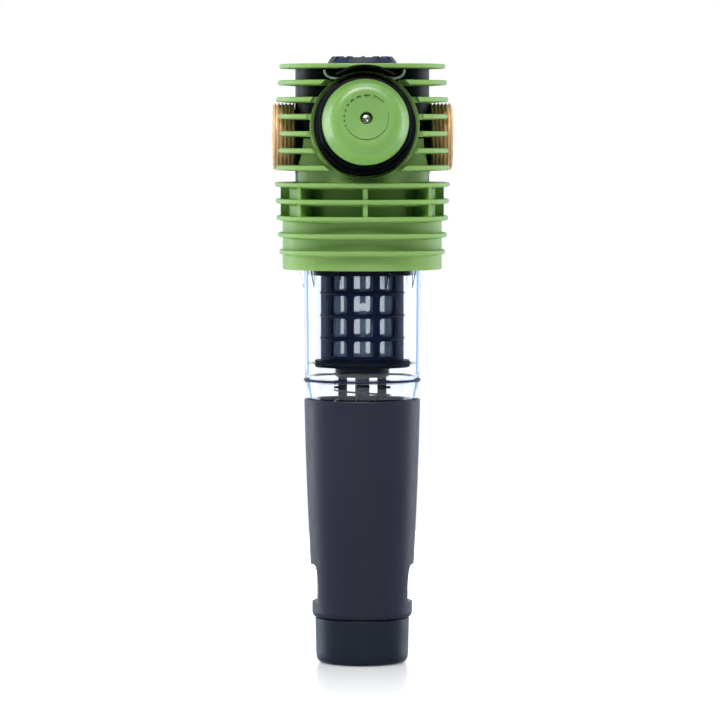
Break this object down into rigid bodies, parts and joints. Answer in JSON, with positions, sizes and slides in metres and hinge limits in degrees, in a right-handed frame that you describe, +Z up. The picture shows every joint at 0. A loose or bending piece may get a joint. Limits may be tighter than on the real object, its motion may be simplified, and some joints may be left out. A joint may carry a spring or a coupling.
{
  "type": "backwash water filter",
  "caption": "Upright backwash water filter: finned green head with brass ports and a pressure knob, clear bowl with a mesh insert, and a dark turning wheel over a drain cup.",
  "frame": {"origin": "centre of the drain cup's underside, on the filter's axis", "axes": "+Z up along the filter's axis, the pressure knob faces -Y, the inlet is at -X and the outlet at +X"},
  "size_m": [0.1102, 0.1337, 0.3738],
  "materials": {
    "green_plastic": "satin moulded plastic",
    "black_plastic": "satin moulded plastic",
    "charcoal_plastic": "satin soft-touch plastic",
    "grey_plastic": "satin moulded plastic",
    "clear_plastic": "clear moulded plastic with a faint blue tint",
    "brass": "machined brass",
    "stainless_steel": "bright stainless steel",
    "steel_mesh": "fine woven stainless mesh",
    "black_rubber": "moulded rubber",
    "blue_rubber": "moulded rubber"
  },
  "bodies": {
    "head": {"valve_body": "black_plastic", "front_shell": "green_plastic", "rear_shell": "green_plastic", "top_plate": "green_plastic", "bowl_collar": "green_plastic", "inlet_port": "brass", "outlet_port": "brass", "inlet_seal": "black_rubber", "outlet_seal": "black_rubber", "shell_screw_1": "stainless_steel", "shell_screw_2": "stainless_steel", "shell_screw_3": "stainless_steel", "shell_screw_4": "stainless_steel", "top_screw_1": "stainless_steel", "top_screw_2": "stainless_steel", "dial_hub": "black_plastic", "retaining_clip": "stainless_steel", "bonnet": "black_plastic", "setting_spring": "stainless_steel", "diaphragm": "black_rubber", "cartridge_seal": "black_rubber", "clear_bowl": "clear_plastic", "bowl_o_ring": "black_rubber", "band_o_ring": "blue_rubber", "insert_guide": "black_plastic", "spring_seat": "black_plastic", "return_spring": "stainless_steel", "drain_nozzle": "black_plastic", "nozzle_nut": "black_plastic", "drain_seal": "black_rubber"},
    "dial": {"reminder_dial": "black_plastic"},
    "knob": {"pressure_knob": "green_plastic", "knob_screw": "stainless_steel", "adjusting_spindle": "brass"},
    "spring_plate": {"spring_plate": "brass"},
    "reducer_valve": {"reducer_stem": "brass", "valve_disc": "black_rubber"},
    "insert": {"filter_cage": "black_plastic", "filter_mesh": "steel_mesh", "mesh_core": "grey_plastic", "insert_flange": "black_plastic", "lip_seal": "black_rubber", "insert_carrier": "grey_plastic"},
    "drain_valve": {"drain_piston": "grey_plastic", "lift_pin": "stainless_steel"},
    "wheel": {"backwash_wheel": "charcoal_plastic", "cam_ring": "black_plastic"},
    "cup": {"drain_cup": "charcoal_plastic"}
  },
  "joints": [
    {"name": "dial_turn", "type": "hinge", "parent": "head", "child": "dial", "pos_m": [0, 0, 0.3713], "axis": [0, 0, 1], "continuous": true},
    {"name": "knob_turn", "type": "hinge", "parent": "head", "child": "knob", "pos_m": [0, 0, 0.3243], "axis": [0, -0.9877, 0.1564], "range_deg": [-360, 360]},
    {"name": "spring_plate_slide", "type": "slide", "parent": "head", "child": "spring_plate", "axis": [0, -0.9877, 0.1564], "range_m": [-0.00151, 0.00151]},
    {"name": "reducer_valve_slide", "type": "slide", "parent": "head", "child": "reducer_valve", "axis": [0, -0.9877, 0.1564], "range_m": [0, 0.0026], "stiffness_N_per_m": 500, "springref_m": -0.002},
    {"name": "wheel_turn", "type": "hinge", "parent": "head", "child": "wheel", "pos_m": [0, 0, 0.1], "axis": [0, 0, 1], "range_deg": [0, 90]},
    {"name": "insert_slide", "type": "slide", "parent": "head", "child": "insert", "axis": [0, 0, 1], "range_m": [-0.005, 0], "deforming": ["return_spring"]},
    {"name": "drain_valve_slide", "type": "slide", "parent": "head", "child": "drain_valve", "axis": [0, 0, 1], "range_m": [0, 0.005]},
    {"name": "cup_turn", "type": "hinge", "parent": "head", "child": "cup", "pos_m": [0, 0, 0], "axis": [0, 0, 1], "continuous": true}
  ],
  "couplings": [
    {"joint": "spring_plate_slide", "follows": "knob_turn", "m_per_rad": 0.00023873},
    {"joint": "insert_slide", "follows": "wheel_turn", "m_per_rad": -0.0031831},
    {"joint": "drain_valve_slide", "follows": "wheel_turn", "m_per_rad": 0.0031831}
  ]
}
